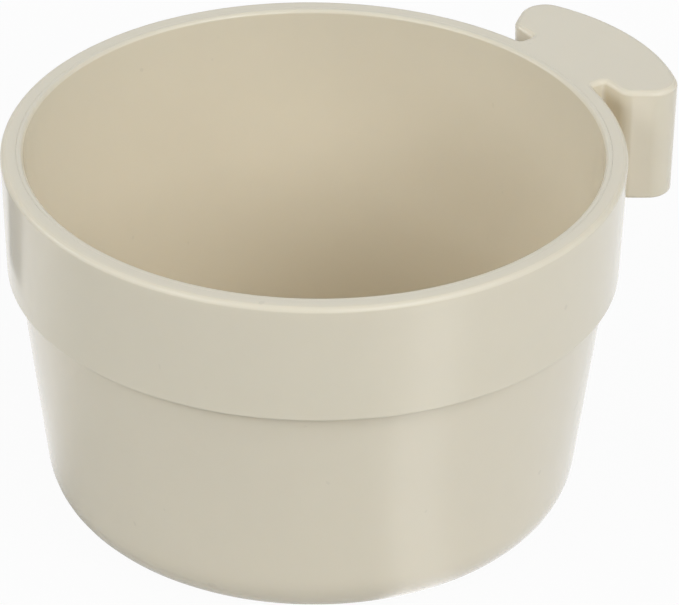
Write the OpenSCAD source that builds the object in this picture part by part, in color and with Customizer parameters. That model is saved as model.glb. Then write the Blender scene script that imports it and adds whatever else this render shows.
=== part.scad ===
// Seed cup that hangs in a cage. A round bowl sits in a collar, which carries a mushroom-shaped
// lug that slides down into a bracket on the cage. Sizes are in millimetres and Z is up. The cup
// stands on Z = 0, its axis is the Z axis, and the lug points along +Y.

/* [Overall] */
// Outer diameter of the rim
rim_d = 101.6; // [80:0.1:150]
// Height from the table to the rim
cup_h = 64; // [48:1:110]

/* [Bowl] */
// Thickness of the lip around the mouth
lip_t = 0.9; // [0.8:0.05:2]
// Radius that rounds the lip towards the mouth
lip_round_r = 0.7; // [0.3:0.05:1]
// How much narrower the base is than the neck, on each side
base_inset = 5.6; // [2:0.1:12]
// Radius of the lower edge, outside
base_edge_r = 10; // [4:0.5:16]
// Radius of the corner between the wall and the floor, inside
floor_edge_r = 9; // [3:0.5:14]
// Thickness of the wall beside the floor
wall_t = 2.4; // [1.8:0.1:4]
// Thickness of the floor
floor_t = 2.6; // [1.8:0.1:5]

/* [Collar] */
// Height of the collar
collar_h = 21; // [14:0.2:30]
// Thickness of the collar at its lower edge
collar_wall = 1.7; // [1.4:0.1:4]
// How much further out the collar stands at the rim than at its lower edge
collar_draft = 0.9; // [0.1:0.1:2]
// Radius of the outer edge of the rim
rim_edge_r = 1; // [0.2:0.1:1.2]
// Radius of the lower edge of the collar
collar_foot_r = 0.3; // [0.1:0.1:0.6]

/* [Snap bead] */
// Height of the bead above the lower edge of the collar
bead_rise = 6; // [3:0.5:10]
// How far the bead stands out from the neck
bead_out = 0.5; // [0.3:0.05:0.8]
// Height of the bead itself
bead_h = 1.8; // [1.2:0.1:3]

/* [Lug] */
// How far the lug reaches beyond the rim
lug_reach = 15.6; // [15:0.1:24]
// Width of the head of the lug
head_w = 36.6; // [32:0.1:44]
// Radius of the curved back of the head
head_back_r = 37.3; // [34:0.1:60]
// Radius of the tips of the head, on the back
tip_back_r = 4.5; // [4:0.1:5.2]
// Radius of the tips of the head, beside the slot
tip_slot_r = 3; // [2.6:0.1:4]
// How much narrower the head is beside the slot than at its widest, on each side
slot_side_inset = 2; // [1:0.1:3]
// Gap between the rim and the head, beside the neck
slot_w = 1.8; // [1.6:0.1:2.6]
// Width of the neck between the rim and the head
neck_w = 19; // [12:0.2:23]
// Radius of the hollow corners of the neck
neck_fillet_r = 0.7; // [0.6:0.1:1.4]
// How much the lug narrows from its top to its lower end, on each side
lug_draft = 0.5; // [0.1:0.1:0.9]
// How far the lower end of the lug stands above the lower edge of the collar
lug_lift = 0.6; // [0:0.1:3]
// Radius of the top edges of the head
head_top_r = 1; // [0.2:0.1:1.2]
// Radius of the lower edges of the head
head_foot_r = 0.5; // [0.4:0.1:1.2]

/* [Pockets under the lug] */
// Wall around the two pockets, at their open ends
pocket_wall = 2.4; // [1.6:0.1:3]
// Thickness of the lug above the pockets
pocket_roof = 3; // [2:0.2:6]
// Thickness of the web between the pockets
pocket_web = 2.4; // [1.6:0.1:4]
// How much each pocket narrows from its open end to its roof, on each side
pocket_draft = 0.3; // [0.1:0.1:0.6]
// Least radius of the upright corners of the pockets
pocket_corner_r = 0.3; // [0.2:0.1:1]

/* [Hidden] */

// Roundness of turned faces, and of the posts that the lug is stretched over
$fn = 128;
post_fn = 32;
// Number of posts along the curved back of the head
back_posts = 13;

// Clearance between the neck of the bowl and the collar
fit_gap = 0.15;
// Radius that breaks the two edges which meet in the rim
edge_break_r = 0.15;
// How far a cut runs past the face that it opens
overrun = 1;
// How far the cutters of the neck run into its neighbours, as a share of their radius
bite_share = 0.25;

// Radii and heights that the bowl and the collar share
rim_r = rim_d / 2;
foot_r = rim_r - collar_draft;
bore_r = foot_r - collar_wall;
neck_r = bore_r - fit_gap;
mouth_r = neck_r - lip_t;
collar_z = cup_h - collar_h;
bead_z = collar_z + bead_rise;

// The wall leans out from the base to the collar
base_r = neck_r - base_inset;
floor_r = base_r + base_inset * floor_t / collar_z - wall_t;

// Ends, faces and centres of the lug
lug_z = collar_z + lug_lift;
lug_h = collar_h - lug_lift;
head_y = rim_r + slot_w;
back_centre_y = rim_r + lug_reach - head_back_r;
tip_angle = asin((head_w / 2 - tip_back_r) / (head_back_r - tip_back_r));

function unit(v) = v / norm(v);

// Half of the angle between the edges that meet at point i of an outline
function half_angle(points, i) =
    let (
        count = len(points),
        before = unit(points[(i + count - 1) % count] - points[i]),
        after = unit(points[(i + 1) % count] - points[i])
    )
    acos(before * after) / 2;

// The outline with each corner that is to be rounded cut back to where its arc starts and ends
function cut_back(points, radii) =
    let (count = len(points))
    [
        for (i = [0 : count - 1])
            let (
                corner = points[i],
                before = unit(points[(i + count - 1) % count] - corner),
                after = unit(points[(i + 1) % count] - corner),
                reach = abs(radii[i]) / tan(half_angle(points, i))
            )
            each radii[i] == 0 ? [corner] : [corner + reach * before, corner + reach * after]
    ];

// Centre of the arc that rounds corner i of an outline
function arc_centre(points, radii, i) =
    let (
        count = len(points),
        corner = points[i],
        before = unit(points[(i + count - 1) % count] - corner),
        after = unit(points[(i + 1) % count] - corner)
    )
    corner + abs(radii[i]) / sin(half_angle(points, i)) * unit(before + after);

// Outline with true arcs: a positive radius rounds an outer corner, a negative one an inner corner.
// Each circle has to fit inside the outline, or outside it at an inner corner.
module rounded_outline(points, radii) {
    corners = [0 : len(points) - 1];
    difference() {
        union() {
            polygon(cut_back(points, radii));
            for (i = corners)
                if (radii[i] > 0)
                    translate(arc_centre(points, radii, i))
                        circle(radii[i]);
        }
        for (i = corners)
            if (radii[i] < 0)
                translate(arc_centre(points, radii, i))
                    circle(-radii[i]);
    }
}

// Outside of the bowl in half section, with the bead that snaps into the collar
bowl_outside = [
    [0, 0],
    [base_r, 0],
    [neck_r, collar_z],
    [neck_r, bead_z],
    [neck_r + bead_out, bead_z],
    [neck_r + bead_out, bead_z + bead_h - bead_out],
    [neck_r, bead_z + bead_h],
    [neck_r, cup_h],
    [0, cup_h]
];
outside_radii = [0, base_edge_r, 0, 0, 0, 0, 0, edge_break_r, 0];

// Hollow of the bowl in half section, which flares at the mouth to round the lip
bowl_inside = [
    [0, floor_t],
    [floor_r, floor_t],
    [mouth_r, cup_h],
    [neck_r, cup_h],
    [neck_r, cup_h + overrun],
    [0, cup_h + overrun]
];
inside_radii = [0, floor_edge_r, -lip_round_r, 0, 0, 0];

module bowl() {
    color("#d8cfba")
        rotate_extrude()
            difference() {
                rounded_outline(bowl_outside, outside_radii);
                rounded_outline(bowl_inside, inside_radii);
            }
}

// Half section of the collar, with the groove that the bead of the bowl snaps into. The bead hangs
// on the flat lower side of the groove and has the same clearance on its other sides.
collar_points = [
    [bore_r, collar_z],
    [foot_r, collar_z],
    [rim_r, cup_h],
    [bore_r, cup_h],
    [bore_r, bead_z + bead_h + fit_gap],
    [bore_r + bead_out, bead_z + bead_h + fit_gap - bead_out],
    [bore_r + bead_out, bead_z],
    [bore_r, bead_z]
];
collar_radii = [0, collar_foot_r, rim_edge_r, edge_break_r, 0, 0, 0, 0];

// Upright round post of the lug, narrower at its foot, with both of its edges rounded
module post(x, y, r, foot_r) {
    translate([x, y, lug_z])
        rotate_extrude($fn = post_fn)
            rounded_outline(
                [[0, 0], [foot_r, 0], [r, lug_h], [0, lug_h]],
                [0, head_foot_r, head_top_r, 0]
            );
}

// Centres of the posts at the corners of the head, as [x, y, radius]
back_corners = [
    for (i = [0 : back_posts - 1])
        let (
            angle = tip_angle * (2 * i / (back_posts - 1) - 1),
            r = head_back_r - tip_back_r
        )
        [r * sin(angle), back_centre_y + r * cos(angle), tip_back_r]
];
slot_corners = [
    for (side = [-1, 1])
        [side * (head_w / 2 - slot_side_inset - tip_slot_r), head_y + tip_slot_r, tip_slot_r]
];
head_corners = concat(back_corners, slot_corners);

// The head: a skin stretched over its corner posts
module head() {
    hull()
        for (c = head_corners)
            post(c[0], c[1], c[2], c[2] - lug_draft);
}

// The space inside the walls of the head, open below and split by the web
module pockets() {
    open_inset = pocket_wall + lug_draft;
    roof_inset = open_inset + pocket_draft;
    depth = lug_h - pocket_roof;
    difference() {
        hull()
            for (c = head_corners)
                translate([c[0], c[1], lug_z - overrun])
                    cylinder(
                        h = depth + overrun,
                        r1 = max(c[2] - open_inset, pocket_corner_r),
                        r2 = max(c[2] - roof_inset, pocket_corner_r),
                        $fn = post_fn
                    );
        translate([-pocket_web / 2, rim_r, lug_z - 2 * overrun])
            cube([pocket_web, lug_reach, lug_h]);
    }
}

// Cutter for one side of the neck: it runs a little into the collar and the head, so that the
// hollow corners end in a clean edge, and it widens with their draft
module neck_side(side) {
    bite = neck_fillet_r * bite_share;
    centre_x = neck_w / 2 + neck_fillet_r;
    rim_side_y = sqrt(pow(rim_r + neck_fillet_r - bite, 2) - pow(centre_x, 2));
    head_side_y = head_y - neck_fillet_r + bite;
    hull() {
        translate([side * centre_x, rim_side_y, collar_z])
            cylinder(
                h = collar_h,
                r1 = neck_fillet_r + collar_draft,
                r2 = neck_fillet_r,
                $fn = post_fn
            );
        translate([side * centre_x, head_side_y, collar_z])
            cylinder(
                h = collar_h,
                r1 = neck_fillet_r + lug_draft,
                r2 = neck_fillet_r,
                $fn = post_fn
            );
    }
}

// The neck: a block from inside the collar to inside the head, hollowed at its four corners
module neck() {
    block_w = neck_w + 2 * neck_fillet_r;
    block_y = sqrt(pow(bore_r, 2) - pow(block_w / 2, 2));
    difference() {
        translate([-block_w / 2, block_y, lug_z])
            cube([block_w, head_y + pocket_wall - block_y, lug_h]);
        for (side = [-1, 1])
            neck_side(side);
    }
}

module hanger_collar() {
    color("#dbd3c0") {
        difference() {
            union() {
                neck();
                head();
            }
            pockets();
            translate([0, 0, collar_z - overrun])
                cylinder(h = collar_h + 2 * overrun, r = (bore_r + foot_r) / 2);
        }
        rotate_extrude()
            rounded_outline(collar_points, collar_radii);
    }
}

bowl();
hanger_collar();
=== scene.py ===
import math

import bmesh
import bpy
from mathutils import Matrix, Vector


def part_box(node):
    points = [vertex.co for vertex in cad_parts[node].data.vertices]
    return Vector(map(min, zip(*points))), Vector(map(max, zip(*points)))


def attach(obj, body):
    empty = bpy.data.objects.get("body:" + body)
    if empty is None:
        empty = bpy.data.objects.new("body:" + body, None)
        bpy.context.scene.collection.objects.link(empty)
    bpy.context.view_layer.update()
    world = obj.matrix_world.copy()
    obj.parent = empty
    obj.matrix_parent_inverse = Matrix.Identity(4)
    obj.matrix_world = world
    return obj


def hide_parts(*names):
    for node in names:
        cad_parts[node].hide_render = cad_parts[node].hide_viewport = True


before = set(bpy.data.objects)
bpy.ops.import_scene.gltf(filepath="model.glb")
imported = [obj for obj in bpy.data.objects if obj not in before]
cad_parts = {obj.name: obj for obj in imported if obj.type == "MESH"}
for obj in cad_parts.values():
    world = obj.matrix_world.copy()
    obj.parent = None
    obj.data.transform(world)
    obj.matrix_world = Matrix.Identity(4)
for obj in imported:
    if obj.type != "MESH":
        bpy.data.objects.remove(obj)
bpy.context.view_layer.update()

# The look of a seed cup that hangs in a cage: a turned bowl in a collar with a hanging lug.
# Lengths are in metres. The cup stands on Z = 0, its axis is the Z axis, and its lug points
# along +Y, as in the frame.
MM = 0.001

# Heights and reach that come from the frame
CUP_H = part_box("bowl")[1].z
COLLAR_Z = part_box("hanger_collar")[0].z
COLLAR_H = CUP_H - COLLAR_Z
LUG_TIP_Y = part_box("hanger_collar")[1].y

# The bowl
NECK_R = 48.05 * MM
LIP_T = 0.9 * MM
LIP_ROUND_R = 0.7 * MM
BASE_INSET = 5.6 * MM
BASE_EDGE_R = 10 * MM
FLOOR_EDGE_R = 9 * MM
WALL_T = 2.4 * MM
FLOOR_T = 2.6 * MM
MOUTH_R = NECK_R - LIP_T
BASE_R = NECK_R - BASE_INSET
FLOOR_R = BASE_R + BASE_INSET * FLOOR_T / COLLAR_Z - WALL_T

# The bead that snaps into the collar
BEAD_RISE = 6 * MM
BEAD_Z = COLLAR_Z + BEAD_RISE
BEAD_OUT = 0.5 * MM
BEAD_H = 1.8 * MM
FIT_GAP = 0.15 * MM

# The line in the rim where the lip of the bowl meets the collar: its width, the radius of its
# two edges, and how far down the lip closes up to the collar
LINE_GAP = 0.01 * MM
LINE_EDGE_R = 0.04 * MM
LIP_CLOSE_H = 3 * MM

# The collar, whose rim is a hair inside that of the frame
RIM_R = 50.78 * MM
BORE_R = NECK_R + FIT_GAP
COLLAR_DRAFT = 0.9 * MM
RIM_EDGE_R = 1 * MM
COLLAR_FOOT_R = 0.3 * MM

# The lug
LUG_LIFT = 0.6 * MM
LUG_Z = COLLAR_Z + LUG_LIFT
LUG_H = COLLAR_H - LUG_LIFT
HEAD_W = 36.6 * MM
HEAD_BACK_R = 37.3 * MM
TIP_BACK_R = 4.5 * MM
TIP_SLOT_R = 3 * MM
SLOT_SIDE_INSET = 2 * MM
SLOT_W = 1.8 * MM
HEAD_Y = RIM_R + SLOT_W
NECK_W = 19 * MM
NECK_FILLET_R = 0.7 * MM
LUG_DRAFT = 0.5 * MM
HEAD_FOOT_R = 0.5 * MM
BACK_CENTRE_Y = LUG_TIP_Y - HEAD_BACK_R
TIP_ANGLE = math.asin((HEAD_W / 2 - TIP_BACK_R) / (HEAD_BACK_R - TIP_BACK_R))

# The pockets under the lug
POCKET_WALL = 2.4 * MM
POCKET_ROOF = 3 * MM
POCKET_WEB = 2.4 * MM
POCKET_DRAFT = 0.3 * MM
POCKET_CORNER_R = 0.3 * MM

# How finely the skins are divided
TURN_COLUMNS = 256
ROW_H = 2 * MM
ARC_STEP = math.radians(9)
LEAST_ARC_STEPS = 5

# Width of the flat strip beside a rounded edge, the distance at which points are merged, the angle
# from which an edge is sharp, the weight of large faces in the shading (50 is neutral), and the
# radius below which an edge wears and gets a painted sheen
SUPPORT = 0.25 * MM
WELD = 0.001 * MM
SHARP_ANGLE = math.radians(38)
LARGE_FACES = 100
SMALL_EDGE_R = 1.2 * MM


class Wire:
    """One output of a node. Sums and products of wires and numbers add Math nodes."""

    def __init__(self, graph, socket):
        self.graph = graph
        self.socket = socket

    def out(self, name):
        """Another output of the same node."""
        return Wire(self.graph, self.socket.node.outputs[name])

    def math(self, operation, *values):
        return self.graph.add("ShaderNodeMath", {"operation": operation}, dict(enumerate(values)))

    def __add__(self, other):
        return self.math("ADD", self, other)

    def __radd__(self, other):
        return self.math("ADD", other, self)

    def __sub__(self, other):
        return self.math("SUBTRACT", self, other)

    def __rsub__(self, other):
        return self.math("SUBTRACT", other, self)

    def __mul__(self, other):
        return self.math("MULTIPLY", self, other)

    def __rmul__(self, other):
        return self.math("MULTIPLY", other, self)

    def __truediv__(self, other):
        return self.math("DIVIDE", self, other)

    def floor(self):
        return self.math("FLOOR", self)

    def cos(self):
        return self.math("COSINE", self)

    def sin(self):
        return self.math("SINE", self)

    def ramp(self, low, high):
        """0 below low, 1 above high, with a smooth step between."""
        return self.graph.add(
            "ShaderNodeMapRange",
            {"interpolation_type": "SMOOTHSTEP"},
            {"Value": self, "From Min": low, "From Max": high},
        )


class Graph:
    """A node tree that is filled by one method."""

    def __init__(self, tree):
        self.tree = tree

    def add(self, kind, settings=None, sockets=None):
        """Adds a node, sets its settings first, then fills its sockets with values or wires."""
        node = self.tree.nodes.new(kind)
        for name, value in (settings or {}).items():
            setattr(node, name, value)
        for key, value in (sockets or {}).items():
            socket = node.inputs[key]
            if isinstance(value, Wire):
                self.tree.links.new(value.socket, socket)
            else:
                socket.default_value = value
        return Wire(self, node.outputs[0]) if node.outputs else None


# Shapes


def rounded_line(corners):
    """Points (x, z, edge) of an open line whose corners (x, z, radius) are rounded by true arcs.
    edge is 1 in the middle of a small arc and 0 on flat stretches and large arcs."""
    line = []
    for i, (x, z, radius) in enumerate(corners):
        here = Vector((x, z))
        if radius == 0:
            line.append((here, 0.0))
            continue
        before = (Vector(corners[i - 1][:2]) - here).normalized()
        after = (Vector(corners[i + 1][:2]) - here).normalized()
        half = before.angle(after) / 2
        centre = here + (before + after).normalized() * radius / math.sin(half)
        start = here + before * radius / math.tan(half) - centre
        sweep = math.copysign(math.pi - 2 * half, -before.cross(after))
        steps = max(LEAST_ARC_STEPS, math.ceil(abs(sweep) / ARC_STEP))
        # Small arcs are marked: they wear, and the finish paints them paler as a sheen
        wear_and_sheen = 1.0 if radius < SMALL_EDGE_R else 0.0
        for k in range(steps + 1):
            turn = Matrix.Rotation(sweep * k / steps, 2)
            line.append((centre + turn @ start, wear_and_sheen * math.sin(math.pi * k / steps)))
    return line


def in_rows(line):
    """The same line with its long stretches divided into rows."""
    rows = [line[0]]
    for (start, _), (end, edge) in zip(line, line[1:]):
        count = max(1, round((end - start).length / ROW_H))
        rows += [(start.lerp(end, k / count), 0.0) for k in range(1, count)]
        rows.append((end, edge))
    return rows


# Half sections as corners (x, z, radius): the whole bowl from its base to its floor, and the bore
# of the collar with the start of its flat rim
BOWL_SECTION = [
    (0, 0, 0),
    (BASE_R, 0, BASE_EDGE_R),
    (NECK_R, COLLAR_Z, 0),
    (NECK_R, BEAD_Z, 0),
    (NECK_R + BEAD_OUT, BEAD_Z, 0),
    (NECK_R + BEAD_OUT, BEAD_Z + BEAD_H - BEAD_OUT, 0),
    (NECK_R, BEAD_Z + BEAD_H, 0),
    (NECK_R, CUP_H - LIP_CLOSE_H, 0),
    (BORE_R - LINE_GAP, CUP_H - LIP_CLOSE_H / 2, 0),
    (BORE_R - LINE_GAP, CUP_H, LINE_EDGE_R),
    (MOUTH_R, CUP_H, LIP_ROUND_R),
    (FLOOR_R, FLOOR_T, FLOOR_EDGE_R),
    (0, FLOOR_T, 0),
]

BORE_SECTION = [
    (BORE_R, COLLAR_Z, 0),
    (BORE_R, BEAD_Z, 0),
    (BORE_R + BEAD_OUT, BEAD_Z, 0),
    (BORE_R + BEAD_OUT, BEAD_Z + BEAD_H + FIT_GAP - BEAD_OUT, 0),
    (BORE_R, BEAD_Z + BEAD_H + FIT_GAP, 0),
    (BORE_R, CUP_H, LINE_EDGE_R),
    (BORE_R + LINE_EDGE_R + SUPPORT, CUP_H, 0),
]


def turning_tree():
    """Geometry Nodes that turn a half section round the Z axis into one welded skin."""
    tree = bpy.data.node_groups.new("turn_half_section", "GeometryNodeTree")
    sockets = [
        ("Half section", "INPUT", "NodeSocketGeometry"),
        ("Columns", "INPUT", "NodeSocketInt"),
        ("Weld distance", "INPUT", "NodeSocketFloat"),
        ("Finish", "INPUT", "NodeSocketMaterial"),
        ("Skin", "OUTPUT", "NodeSocketGeometry"),
    ]
    for name, direction, kind in sockets:
        tree.interface.new_socket(name=name, in_out=direction, socket_type=kind)
    graph = Graph(tree)
    given = graph.add("NodeGroupInput")
    section = given.out("Half section")
    columns = given.out("Columns")
    points = graph.add(
        "GeometryNodeAttributeDomainSize", {"component": "MESH"}, {"Geometry": section}
    )
    grid = graph.add(
        "GeometryNodeMeshGrid", None, {"Vertices X": points, "Vertices Y": columns + 1}
    )
    index = graph.add("GeometryNodeInputIndex")
    # The half keeps the row right where the division isn't exact
    row = ((index + 0.5) / (columns + 1)).floor()
    column = index - row * (columns + 1)
    place = graph.add(
        "GeometryNodeSampleIndex",
        {"data_type": "FLOAT_VECTOR", "domain": "POINT"},
        {"Geometry": section, "Value": graph.add("GeometryNodeInputPosition"), "Index": row},
    )
    parts = graph.add("ShaderNodeSeparateXYZ", None, {0: place})
    radius = parts.out("X")
    angle = column * math.tau / columns
    turned = graph.add(
        "ShaderNodeCombineXYZ",
        None,
        {"X": radius * angle.cos(), "Y": radius * angle.sin(), "Z": parts.out("Z")},
    )
    skin = graph.add("GeometryNodeSetPosition", None, {"Geometry": grid, "Position": turned})
    edge = graph.add("GeometryNodeInputNamedAttribute", {"data_type": "FLOAT"}, {"Name": "edge"})
    edge_here = graph.add(
        "GeometryNodeSampleIndex",
        {"data_type": "FLOAT", "domain": "POINT"},
        {"Geometry": section, "Value": edge, "Index": row},
    )
    skin = graph.add(
        "GeometryNodeStoreNamedAttribute",
        {"data_type": "FLOAT", "domain": "POINT"},
        {"Geometry": skin, "Name": "edge", "Value": edge_here},
    )
    skin = graph.add("GeometryNodeFlipFaces", None, {"Mesh": skin})
    skin = graph.add(
        "GeometryNodeMergeByDistance",
        None,
        {"Geometry": skin, "Distance": given.out("Weld distance")},
    )
    skin = graph.add("GeometryNodeSetShadeSmooth", None, {"Geometry": skin})
    skin = graph.add("GeometryNodeRealizeInstances", None, {"Geometry": skin})
    skin = graph.add(
        "GeometryNodeSetMaterial", None, {"Geometry": skin, "Material": given.out("Finish")}
    )
    graph.add("NodeGroupOutput", None, {"Skin": skin})
    return tree


def link(mesh, name):
    """A new object with this mesh, in the scene."""
    piece = bpy.data.objects.new(name, mesh)
    bpy.context.scene.collection.objects.link(piece)
    return piece


def applied(piece):
    """The piece with its modifiers made part of its mesh, and removed."""
    bpy.context.view_layer.update()
    depsgraph = bpy.context.evaluated_depsgraph_get()
    mesh = bpy.data.meshes.new_from_object(
        piece.evaluated_get(depsgraph), preserve_all_data_layers=True, depsgraph=depsgraph
    )
    mesh.name = piece.name
    piece.modifiers.clear()
    piece.data = mesh
    return piece


def even_shading(piece):
    """Smooth shading that keeps flat faces flat and true edges sharp."""
    piece.data.set_sharp_from_angle(angle=SHARP_ANGLE)
    weighted = piece.modifiers.new("even_shading", "WEIGHTED_NORMAL")
    weighted.keep_sharp = True
    weighted.weight = LARGE_FACES
    return applied(piece)


def turned_piece(name, section, finish):
    """A piece turned from its half section by Geometry Nodes."""
    rows = in_rows(rounded_line(section))
    mesh = bpy.data.meshes.new(name)
    edges = [(i, i + 1) for i in range(len(rows) - 1)]
    mesh.from_pydata([(p.x, 0, p.y) for p, _ in rows], edges, [])
    wear_and_sheen = mesh.attributes.new("edge", "FLOAT", "POINT")
    wear_and_sheen.data.foreach_set("value", [edge for _, edge in rows])
    piece = link(mesh, name)
    tree = turning_tree()
    turning = piece.modifiers.new("turning", "NODES")
    turning.node_group = tree
    settings = {"Columns": TURN_COLUMNS, "Weld distance": WELD, "Finish": finish}
    for socket in tree.interface.items_tree:
        if socket.name in settings:
            turning[socket.identifier] = settings[socket.name]
    return even_shading(applied(piece))


def arc(centre, radius, start, end, steps):
    """Points of an arc, from the direction start to the direction end, both included."""
    return [
        Vector((
            centre[0] + radius * math.cos(start + (end - start) * k / steps),
            centre[1] + radius * math.sin(start + (end - start) * k / steps),
        ))
        for k in range(steps + 1)
    ]


# Centres of the two arcs round the tip of the head: on its back, and beside the slot. The side of
# the tip is a straight line that touches both of them, in the direction SIDE_ANGLE from each centre
TIP_BACK = Vector((
    HEAD_W / 2 - TIP_BACK_R, BACK_CENTRE_Y + (HEAD_BACK_R - TIP_BACK_R) * math.cos(TIP_ANGLE)
))
TIP_SLOT = Vector((HEAD_W / 2 - SLOT_SIDE_INSET - TIP_SLOT_R, HEAD_Y + TIP_SLOT_R))
TIP_STEP = TIP_SLOT - TIP_BACK
SIDE_ANGLE = math.atan2(TIP_STEP.y, TIP_STEP.x) + math.acos(
    (TIP_BACK_R - TIP_SLOT_R) / TIP_STEP.length
)

# Centres of the hollow corners of the neck, on the right: beside the rim and beside the head
FILLET_X = NECK_W / 2 + NECK_FILLET_R
RIM_FILLET_Y = math.sqrt((RIM_R + NECK_FILLET_R) ** 2 - FILLET_X ** 2)
HEAD_FILLET_Y = HEAD_Y - NECK_FILLET_R

# Directions: to the front, to the hollow corner beside the rim, to the start of the curved back of
# the head, and to the back
FRONT = -math.pi / 2
CORNER_ANGLE = math.atan2(RIM_FILLET_Y, FILLET_X)
BACK = math.pi / 2
BACK_START = BACK - TIP_ANGLE

# Steps of the arcs round the collar, the neck and the head, and of the rounded edges of both
FRONT_STEPS = 120
BEHIND_STEPS = 12
CORNER_STEPS = 7
SLOT_TIP_STEPS = 10
BACK_TIP_STEPS = 14
BACK_STEPS = 10
EDGE_STEPS = 6


def rim_half(inset):
    """Outer arc of the collar on the right, from the front to the hollow corner of the neck."""
    return arc((0, 0), RIM_R - inset, FRONT, CORNER_ANGLE, FRONT_STEPS)


def rim_corner_half(inset):
    """Hollow corner between the collar and the neck, on the right."""
    centre = (FILLET_X, RIM_FILLET_Y)
    start = CORNER_ANGLE + math.pi
    return arc(centre, NECK_FILLET_R + inset, start, math.pi, CORNER_STEPS)[1:]


def lug_half(inset):
    """Outline of the lug on the right, from the neck round the tip to the middle of the back."""
    head_corner = arc(
        (FILLET_X, HEAD_FILLET_Y), NECK_FILLET_R + inset, math.pi, BACK, CORNER_STEPS
    )
    return head_corner + head_half(inset)


def head_half(inset, back_end=BACK):
    """Outline of the head on the right, from the slot round the tip to the direction back_end."""
    slot_r = max(TIP_SLOT_R - inset, POCKET_CORNER_R)
    slot_tip = arc(TIP_SLOT, slot_r, FRONT, SIDE_ANGLE, SLOT_TIP_STEPS)
    back_tip = arc(TIP_BACK, TIP_BACK_R - inset, SIDE_ANGLE, BACK_START, BACK_TIP_STEPS)
    back = arc((0, BACK_CENTRE_Y), HEAD_BACK_R - inset, BACK_START, back_end, BACK_STEPS)
    return slot_tip + back_tip + back[1:]


def collar_levels():
    """Levels of the outer skin, from the lower face to the upper face, as
    (inset of the collar, its height, inset of the lug, its height, edge)."""
    levels = []

    def level(ring_round, ring_z, lug_round, lug_z, edge):
        ring_wall = COLLAR_DRAFT * (CUP_H - ring_z) / COLLAR_H
        lug_wall = LUG_DRAFT * (CUP_H - lug_z) / LUG_H
        levels.append((ring_wall + ring_round, ring_z, lug_wall + lug_round, lug_z, edge))

    level(COLLAR_FOOT_R + SUPPORT, COLLAR_Z, HEAD_FOOT_R + SUPPORT, LUG_Z, 0.0)
    for k in range(EDGE_STEPS + 1):
        turn = BACK * k / EDGE_STEPS
        inward, upward = 1 - math.sin(turn), 1 - math.cos(turn)
        level(
            COLLAR_FOOT_R * inward,
            COLLAR_Z + COLLAR_FOOT_R * upward,
            HEAD_FOOT_R * inward,
            LUG_Z + HEAD_FOOT_R * upward,
            math.sin(2 * turn),
        )
    ring_foot_z = COLLAR_Z + COLLAR_FOOT_R
    lug_foot_z = LUG_Z + HEAD_FOOT_R
    top_z = CUP_H - RIM_EDGE_R
    rows = round(COLLAR_H / ROW_H)
    for k in range(1, rows):
        ring_z = ring_foot_z + (top_z - ring_foot_z) * k / rows
        lug_z = lug_foot_z + (top_z - lug_foot_z) * k / rows
        level(0, ring_z, 0, lug_z, 0.0)
    for k in range(EDGE_STEPS + 1):
        turn = BACK * k / EDGE_STEPS
        inset = RIM_EDGE_R * (1 - math.cos(turn))
        height = CUP_H - RIM_EDGE_R * (1 - math.sin(turn))
        level(inset, height, inset, height, math.sin(2 * turn))
    level(RIM_EDGE_R + SUPPORT, CUP_H, RIM_EDGE_R + SUPPORT, CUP_H, 0.0)
    return levels


def raised(points, z):
    """Flat points lifted to this height."""
    return [Vector((p.x, p.y, z)) for p in points]


def mirrored(half):
    """A closed outline from its right half, whose first and last points lie on the mirror line."""
    return half + [Vector((-p.x, p.y, p.z)) for p in reversed(half[1:-1])]


def skin_between(mesh, loops):
    """Faces between neighbouring closed loops of vertices."""
    for low, high in zip(loops, loops[1:]):
        for i in range(len(low)):
            j = (i + 1) % len(low)
            mesh.faces.new((low[i], low[j], high[j], high[i]))


def ring_of(mesh, points, edge, layer):
    """A loop of new vertices. edge is 1 in the middle of an edge that wears and gets a painted
    sheen, and 0 elsewhere.
    """
    ring = [mesh.verts.new(p) for p in points]
    for vertex in ring:
        vertex[layer] = edge
    return ring


def fill_flat(mesh, loops, up):
    """Fills a flat face between its outer loop and its holes, with its normal up or down."""
    edges = []
    for loop in loops:
        for a, b in zip(loop, loop[1:] + loop[:1]):
            edges.append(mesh.edges.get((a, b)) or mesh.edges.new((a, b)))
    normal = Vector((0, 0, 1 if up else -1))
    bmesh.ops.triangle_fill(
        mesh, use_beauty=True, use_dissolve=False, edges=edges, normal=normal
    )


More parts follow.
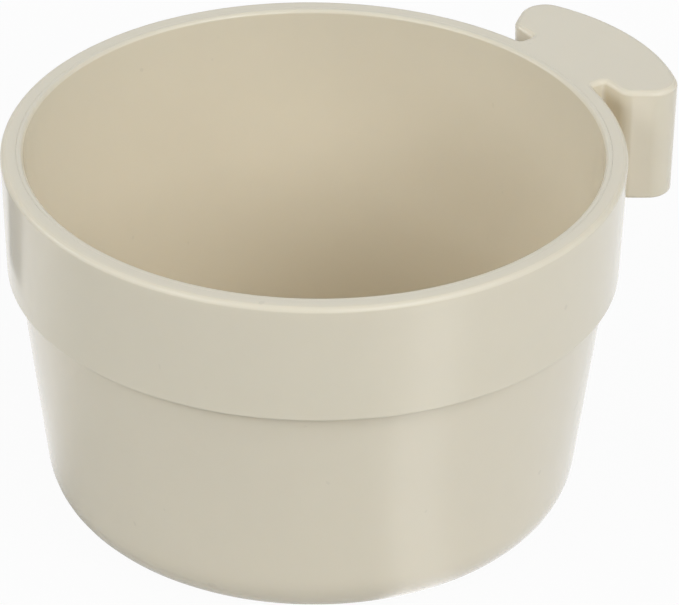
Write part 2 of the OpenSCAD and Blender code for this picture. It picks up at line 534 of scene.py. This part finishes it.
def hanging_collar(finish):
    """The collar with its lug, as one moulding."""
    mesh = bmesh.new()
    layer = mesh.verts.layers.float.new("edge")

    skins = []
    for ring_inset, ring_z, lug_inset, lug_z, edge in collar_levels():
        half = raised(rim_half(ring_inset) + rim_corner_half(ring_inset), ring_z)
        half += raised(lug_half(lug_inset), lug_z)
        skins.append(ring_of(mesh, mirrored(half), edge, layer))
    skin_between(mesh, skins)

    # The bore has a column for each column of the collar, and goes on behind the neck
    rows = in_rows(rounded_line(BORE_SECTION))
    rows.insert(0, (Vector((BORE_R + SUPPORT, COLLAR_Z)), 0.0))
    bore = []
    for place, edge in rows:
        half = arc((0, 0), place.x, FRONT, CORNER_ANGLE, FRONT_STEPS)
        half += arc((0, 0), place.x, CORNER_ANGLE, BACK, BEHIND_STEPS)[1:]
        bore.append(ring_of(mesh, mirrored(raised(half, place.y)), edge, layer))
    skin_between(mesh, bore)

    pockets = [pocket(mesh, layer, side) for side in (1, -1)]
    fill_flat(mesh, [skins[-1], bore[-1]], True)
    # From below, the lug ends a little above the collar, with a ramp between them under the neck
    low = skins[0]
    collar_end = FRONT_STEPS + CORNER_STEPS
    collar_side = low[:collar_end + 1] + low[-collar_end:]
    lug_side = low[collar_end + 1:-collar_end]
    mesh.faces.new((
        collar_side[collar_end], lug_side[0], lug_side[-1], collar_side[collar_end + 1]
    ))
    fill_flat(mesh, [collar_side, bore[0]], False)
    fill_flat(mesh, [lug_side] + pockets, False)
    bmesh.ops.recalc_face_normals(mesh, faces=mesh.faces)

    data = bpy.data.meshes.new("collar_moulding")
    mesh.to_mesh(data)
    mesh.free()
    data.shade_smooth()
    data.materials.append(finish)
    return even_shading(link(data, "collar_moulding"))


def pocket(mesh, layer, side):
    """One pocket under the lug. Gives the loop of vertices at its open end."""
    inset = POCKET_WALL + LUG_DRAFT
    depth = LUG_H - POCKET_ROOF
    web_x = POCKET_WEB / 2
    rows = round(depth / ROW_H)
    loops = []
    for k in range(rows + 1):
        share = k / rows
        level_inset = inset + POCKET_DRAFT * share
        web_angle = math.acos(web_x / (HEAD_BACK_R - level_inset))
        half = head_half(level_inset, back_end=web_angle)
        half.append(Vector((web_x, half[0].y)))
        points = [Vector((side * p.x, p.y, LUG_Z + depth * share)) for p in half]
        loops.append(ring_of(mesh, points, 0.0, layer))
    skin_between(mesh, loops)
    mesh.faces.new(loops[-1])
    return loops[0]


# Finishes

CREAM = (0.785, 0.7, 0.547)
WHITE = (1, 1, 1, 1)

# Place of the colour among the outputs of a Mix node
COLOUR_RESULT = 2

# Sizes of what shows in the plastic. Streaks are drawn out along the Z axis.
CLOUD_SIZE = 45 * MM
MOTTLE_SIZE = 5 * MM
GRAIN_SIZE = 0.5 * MM
STREAK_SIZE = 14 * MM
STREAK_STRETCH = (1.0, 1.0, 0.12)
SPECK_SIZE = 2.2 * MM
SPECK_FROM = (0.86, 0.9)

# The deep, pale and dirty colours as shares of the tint, how far the paler edge colour, which is
# wear and a painted sheen, has gone from the tint to white, and how strongly an edge shows it and a
# speck the dirty one
DEEP_SHARE = 0.955
PALE_SHARE = 1.045
DIRT_SHARE = 0.62
WEAR_AND_SHEEN_SHARE = 0.16
EDGE_WEAR_AND_SHEEN = 0.12
SPECK_DIRT = 0.16

# Shares of the clouds, the mottle and the streaks in the colour, and in the waviness of the skin
COLOUR_MIX = (0.5, 0.2, 0.3)
SKIN_MIX = (0.6, 0.25, 0.15)

# Roughness: its least value, and what the clouds, the grain and a worn edge add to it
LEAST_ROUGHNESS = 0.11
CLOUD_ROUGHNESS = 0.05
GRAIN_ROUGHNESS = 0.03
EDGE_ROUGHNESS = 0.25

# The gloss on top: its weight, what a worn edge loses of it, and its roughness
COAT = 0.2
COAT_WEAR = 0.15
COAT_ROUGHNESS = 0.04

# Depths of the waviness and of the grain, and how strongly they show
WAVE_DEPTH = 0.12 * MM
WAVE_STRENGTH = 0.35
GRAIN_DEPTH = 0.01 * MM
GRAIN_STRENGTH = 0.12

# Light inside the plastic: how much it bends, how much of it goes in, and how deep, with red
# going deepest
REFRACTION = 1.5
INNER_LIGHT = 0.12
INNER_DEPTH = 2.5 * MM
INNER_TINT = (1.0, 0.8, 0.55)


def moulded_plastic(name, tint, offset):
    """Glossy moulded plastic: a faint mottle, flow streaks, a few specks, worn edges that are
    duller and painted a little paler as a sheen, and the slight waviness of a moulded skin."""
    material = bpy.data.materials.new(name)
    material.use_nodes = True
    material.node_tree.nodes.clear()
    graph = Graph(material.node_tree)
    place = graph.add("ShaderNodeTexCoord").out("Object")
    moved = graph.add("ShaderNodeMapping", None, {"Vector": place, "Location": offset})

    def noise(size, detail=2.0, stretch=None):
        """Noise whose features are about this size, in metres."""
        at = moved
        if stretch:
            at = graph.add("ShaderNodeMapping", None, {"Vector": moved, "Scale": stretch})
        return graph.add(
            "ShaderNodeTexNoise", None, {"Vector": at, "Scale": 1 / size, "Detail": detail}
        )

    cloud = noise(CLOUD_SIZE)
    mottle = noise(MOTTLE_SIZE)
    grain = noise(GRAIN_SIZE, detail=3.0)
    streak = noise(STREAK_SIZE, detail=3.0, stretch=STREAK_STRETCH)
    speck = noise(SPECK_SIZE, detail=0.0).ramp(*SPECK_FROM)
    edge = graph.add("ShaderNodeAttribute", {"attribute_name": "edge"}).out("Fac")

    def together(shares):
        """Clouds, mottle and streaks, in these shares."""
        return cloud * shares[0] + mottle * shares[1] + streak * shares[2]

    def mix(share, first, second):
        """Colour between two others."""
        return graph.add(
            "ShaderNodeMix", {"data_type": "RGBA"}, {0: share, 6: first, 7: second}
        ).out(COLOUR_RESULT)

    deep = [c * DEEP_SHARE for c in tint] + [1.0]
    pale = [min(1.0, c * PALE_SHARE) for c in tint] + [1.0]
    wear_and_sheen = [c + (1 - c) * WEAR_AND_SHEEN_SHARE for c in tint] + [1.0]
    dirt = [c * DIRT_SHARE for c in tint] + [1.0]
    colour = mix(together(COLOUR_MIX), deep, pale)
    # Small edges are painted paler: partly wear, partly a painted sheen that stands in for their
    # highlight
    colour = mix(edge * EDGE_WEAR_AND_SHEEN, colour, wear_and_sheen)
    colour = mix(speck * SPECK_DIRT, colour, dirt)

    roughness = LEAST_ROUGHNESS + cloud * CLOUD_ROUGHNESS + grain * GRAIN_ROUGHNESS
    roughness = roughness + edge * EDGE_ROUGHNESS
    skin = together(SKIN_MIX)
    waves = graph.add(
        "ShaderNodeBump",
        None,
        {"Strength": WAVE_STRENGTH, "Distance": WAVE_DEPTH, "Height": skin},
    )
    fine = graph.add(
        "ShaderNodeBump",
        None,
        {"Strength": GRAIN_STRENGTH, "Distance": GRAIN_DEPTH, "Height": grain, "Normal": waves},
    )
    shader = graph.add(
        "ShaderNodeBsdfPrincipled",
        None,
        {
            "Base Color": colour,
            "Roughness": roughness,
            "Normal": fine,
            "IOR": REFRACTION,
            "Subsurface Weight": INNER_LIGHT,
            "Subsurface Radius": INNER_TINT,
            "Subsurface Scale": INNER_DEPTH,
            "Coat Weight": COAT - edge * COAT_WEAR,
            "Coat Roughness": COAT_ROUGHNESS,
        },
    )
    graph.add("ShaderNodeOutputMaterial", None, {"Surface": shader})
    return material


# Studio

# The camera stands where the photograph was taken from: turned from the front of the frame, at
# this distance and height from the middle of the base, and looking down. Tilt, yaw and roll are in
# radians, the width of the sensor is in millimetres, and the focal length is in the photograph's
# pixels.
CAMERA_TURN = math.radians(52.96)
CAMERA_BACK = 917.9 * MM
CAMERA_UP = 580.9 * MM
CAMERA_TILT = 0.53647
CAMERA_YAW = 0.00479
CAMERA_ROLL = 0.01364
SENSOR_W = 36.0
FOCAL_PX = 6519
PHOTO_W_PX = 679

# Strength of the white background, and of the paper where it is seen as white
BACKGROUND = 1.0

# Soft lamps: bearing, elevation, width, height and power. All have the same, slightly cool tint.
LAMP_DISTANCE = 2.5
LAMP_TINT = (0.922, 0.965, 1.0)
LAMPS = {
    "top_softbox": (0, 88, 3.6, 3.6, 14.5),
    "front_right_softbox": (30, 28, 1.6, 1.0, 25),
    "right_softbox": (60, 45, 1.6, 1.0, 17.5),
    "left_softbox": (-50, 33, 1.6, 1.0, 20.5),
    "far_left_softbox": (-100, 22, 1.6, 1.0, 17),
    "far_right_softbox": (90, 14, 1.6, 1.0, 5),
    "back_softbox": (175, 42, 2.6, 1.8, 3.5),
}

# The paper: its radius, its number of sides, how far it lies under the cup, how grey it is where
# light falls on it, how white the camera sees it beside the cup, and where it fades to white
SHEET_R = 3.0
SHEET_SIDES = 96
SHEET_DROP = 0.05 * MM
PAPER_GREY = (0.66, 0.66, 0.66, 1)
PAPER_WHITE = 0.95
PAPER_FADE = (80 * MM, 500 * MM)

# Bearings between which the paper turns white to the gloss, on the right and on the left
WHITE_FROM = (math.radians(12), math.radians(26))
WHITE_TO = (math.radians(-72), math.radians(-104))

# The glow of the paper under the base: the distances over which it fades, and its light
UNDER_BASE = (30 * MM, 44 * MM)
UNDER_LIGHT = 0.45

# The painted bright reflection, a patch of the paper that only the gloss sees, glowing brighter
# than
# white and lying aslant: how far its bearing grows per metre from the cup, the bearings between
# which it starts and ends, and its light
BRIGHT_REFLECTION_SLANT = 2.1
BRIGHT_REFLECTION_START = (math.radians(10), math.radians(20))
BRIGHT_REFLECTION_END = (math.radians(37), math.radians(25))
BRIGHT_REFLECTION_LIGHT = 0.65

# The painted dark reflection, a patch of the paper that the gloss sees dimmed: where it starts and
# ends, from how far out, and how dark it is
DARK_START = (math.radians(-112), math.radians(-118))
DARK_END = (math.radians(-134), math.radians(-128))
DARK_REACH = (99 * MM, 104 * MM)
DARK_SHARE = 0.6


def photo_camera():
    """Camera at the photograph's viewing angle, with its frame."""
    data = bpy.data.cameras.new("photo_camera")
    data.sensor_fit = "HORIZONTAL"
    data.sensor_width = SENSOR_W
    data.lens = SENSOR_W * FOCAL_PX / PHOTO_W_PX
    forward = Vector((
        math.sin(CAMERA_YAW) * math.cos(CAMERA_TILT),
        math.cos(CAMERA_YAW) * math.cos(CAMERA_TILT),
        -math.sin(CAMERA_TILT),
    ))
    level = Vector((math.cos(CAMERA_YAW), -math.sin(CAMERA_YAW), 0))
    above = level.cross(forward)
    right = math.cos(CAMERA_ROLL) * level + math.sin(CAMERA_ROLL) * above
    up = math.cos(CAMERA_ROLL) * above - math.sin(CAMERA_ROLL) * level
    basis = Matrix((right, up, -forward)).transposed().to_4x4()
    stand = Matrix.Translation((0, -CAMERA_BACK, CAMERA_UP))
    camera = bpy.data.objects.new("photo_camera", data)
    bpy.context.scene.collection.objects.link(camera)
    camera.matrix_world = Matrix.Rotation(CAMERA_TURN, 4, "Z") @ stand @ basis
    bpy.context.scene.camera = camera


def softbox(name, bearing, elevation, width, height, power):
    """A soft lamp that faces the cup. Its bearing is 0 above the camera and 90 on its right."""
    data = bpy.data.lights.new(name, "AREA")
    data.shape = "RECTANGLE"
    data.size = width
    data.size_y = height
    data.energy = power
    data.color = LAMP_TINT
    lamp = bpy.data.objects.new(name, data)
    bpy.context.scene.collection.objects.link(lamp)
    around = CAMERA_TURN + math.radians(bearing)
    rise = math.radians(elevation)
    away = Vector((
        math.sin(around) * math.cos(rise),
        -math.cos(around) * math.cos(rise),
        math.sin(rise),
    ))
    middle = Vector((0, 0, CUP_H / 2))
    lamp.location = middle + away * LAMP_DISTANCE
    lamp.rotation_euler = away.to_track_quat("Z", "Y").to_euler()


def studio_world():
    """A white background, which the gloss of the cup sees too, and which gives no light."""
    world = bpy.data.worlds.new("white_room")
    bpy.context.scene.world = world
    world.use_nodes = True
    world.node_tree.nodes.clear()
    graph = Graph(world.node_tree)
    path = graph.add("ShaderNodeLightPath")
    seen = path.out("Is Camera Ray") + path.out("Is Glossy Ray")
    seen = seen + path.out("Is Transmission Ray")
    seen = seen.math("MINIMUM", seen, 1.0)
    white = graph.add(
        "ShaderNodeBackground", None, {"Color": WHITE, "Strength": seen * BACKGROUND}
    )
    graph.add("ShaderNodeOutputWorld", None, {"Surface": white})


def floor_paper():
    """White paper that keeps a soft shadow near the cup and fades into the background. The gloss
    of the cup sees it as the white background, but for the part in front of the cup and on its
    left, which is as grey as it is lit. Two painted reflections lie in the paper and show only in
    the gloss: on the right in front a patch glows brighter than white, and behind on the left a
    patch is dimmed, so that soft bands show in the reflections. Under the base the paper glows a
    little, which shows only in a view from below."""
    material = bpy.data.materials.new("white_paper")
    material.use_nodes = True
    material.node_tree.nodes.clear()
    graph = Graph(material.node_tree)
    place = graph.add("ShaderNodeTexCoord").out("Object")
    away = graph.add("ShaderNodeVectorMath", {"operation": "LENGTH"}, {0: place}).out("Value")
    # The bearing of a place on the paper, 0 under the camera and larger on its right
    side = graph.add(
        "ShaderNodeVectorMath",
        {"operation": "DOT_PRODUCT"},
        {0: place, 1: (math.cos(CAMERA_TURN), math.sin(CAMERA_TURN), 0)},
    ).out("Value")
    ahead = graph.add(
        "ShaderNodeVectorMath",
        {"operation": "DOT_PRODUCT"},
        {0: place, 1: (math.sin(CAMERA_TURN), -math.cos(CAMERA_TURN), 0)},
    ).out("Value")
    bearing = side.math("ARCTAN2", side, ahead)
    white_right = bearing.ramp(*WHITE_FROM)
    white_left = bearing.ramp(*WHITE_TO)
    fade = away.ramp(*PAPER_FADE)
    under = 1 - away.ramp(*UNDER_BASE)
    gloss = fade + under + white_right + white_left
    gloss = gloss.math("MINIMUM", gloss, 1.0)
    # Painted reflections, seen only by the gloss: a dimmed patch behind on the left, and a patch on
    # the right in front that glows brighter than white
    painted_dark_reflection = bearing.ramp(*DARK_START) * bearing.ramp(*DARK_END) * away.ramp(*DARK_REACH)
    turned = bearing - away * BRIGHT_REFLECTION_SLANT
    painted_bright_reflection = turned.ramp(*BRIGHT_REFLECTION_START) * turned.ramp(*BRIGHT_REFLECTION_END) * (1 - under)
    path = graph.add("ShaderNodeLightPath")
    direct = path.out("Is Camera Ray") + path.out("Is Transmission Ray")
    glossy = path.out("Is Glossy Ray")
    share = direct * (PAPER_WHITE + fade * (1 - PAPER_WHITE)) + glossy * gloss
    share = share + path.out("Is Diffuse Ray") * under * UNDER_LIGHT
    # The gloss sees the painted bright reflection glow above white and the painted dark one dimmed
    strength = BACKGROUND + glossy * (painted_bright_reflection * BRIGHT_REFLECTION_LIGHT - painted_dark_reflection * DARK_SHARE)
    paper = graph.add("ShaderNodeBsdfDiffuse", None, {"Color": PAPER_GREY})
    white = graph.add("ShaderNodeEmission", None, {"Color": WHITE, "Strength": strength})
    lit = graph.add("ShaderNodeMixShader", None, {0: share, 1: paper, 2: white})
    behind = graph.add("ShaderNodeNewGeometry").out("Backfacing")
    clear = graph.add("ShaderNodeBsdfTransparent")
    both = graph.add("ShaderNodeMixShader", None, {0: behind, 1: lit, 2: clear})
    graph.add("ShaderNodeOutputMaterial", None, {"Surface": both})
    return material


def studio_floor():
    """A round sheet just under the cup."""
    mesh = bmesh.new()
    bmesh.ops.create_circle(mesh, cap_ends=True, radius=SHEET_R, segments=SHEET_SIDES)
    data = bpy.data.meshes.new("studio_floor")
    mesh.to_mesh(data)
    mesh.free()
    data.materials.append(floor_paper())
    floor = link(data, "studio_floor")
    floor.location.z = -SHEET_DROP


# The pieces, and what each one stands for

bowl = turned_piece(
    "bowl_moulding", BOWL_SECTION, moulded_plastic("bowl_plastic", CREAM, (0, 0, 0))
)
collar = hanging_collar(moulded_plastic("collar_plastic", CREAM, (0.31, 0.17, 0.23)))
for piece, node in ((bowl, "bowl"), (collar, "hanger_collar")):
    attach(piece, "root")
    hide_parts(node)

photo_camera()
studio_world()
studio_floor()
for name, settings in LAMPS.items():
    softbox(name, *settings)

scene = bpy.context.scene
scene.view_settings.view_transform = "Standard"
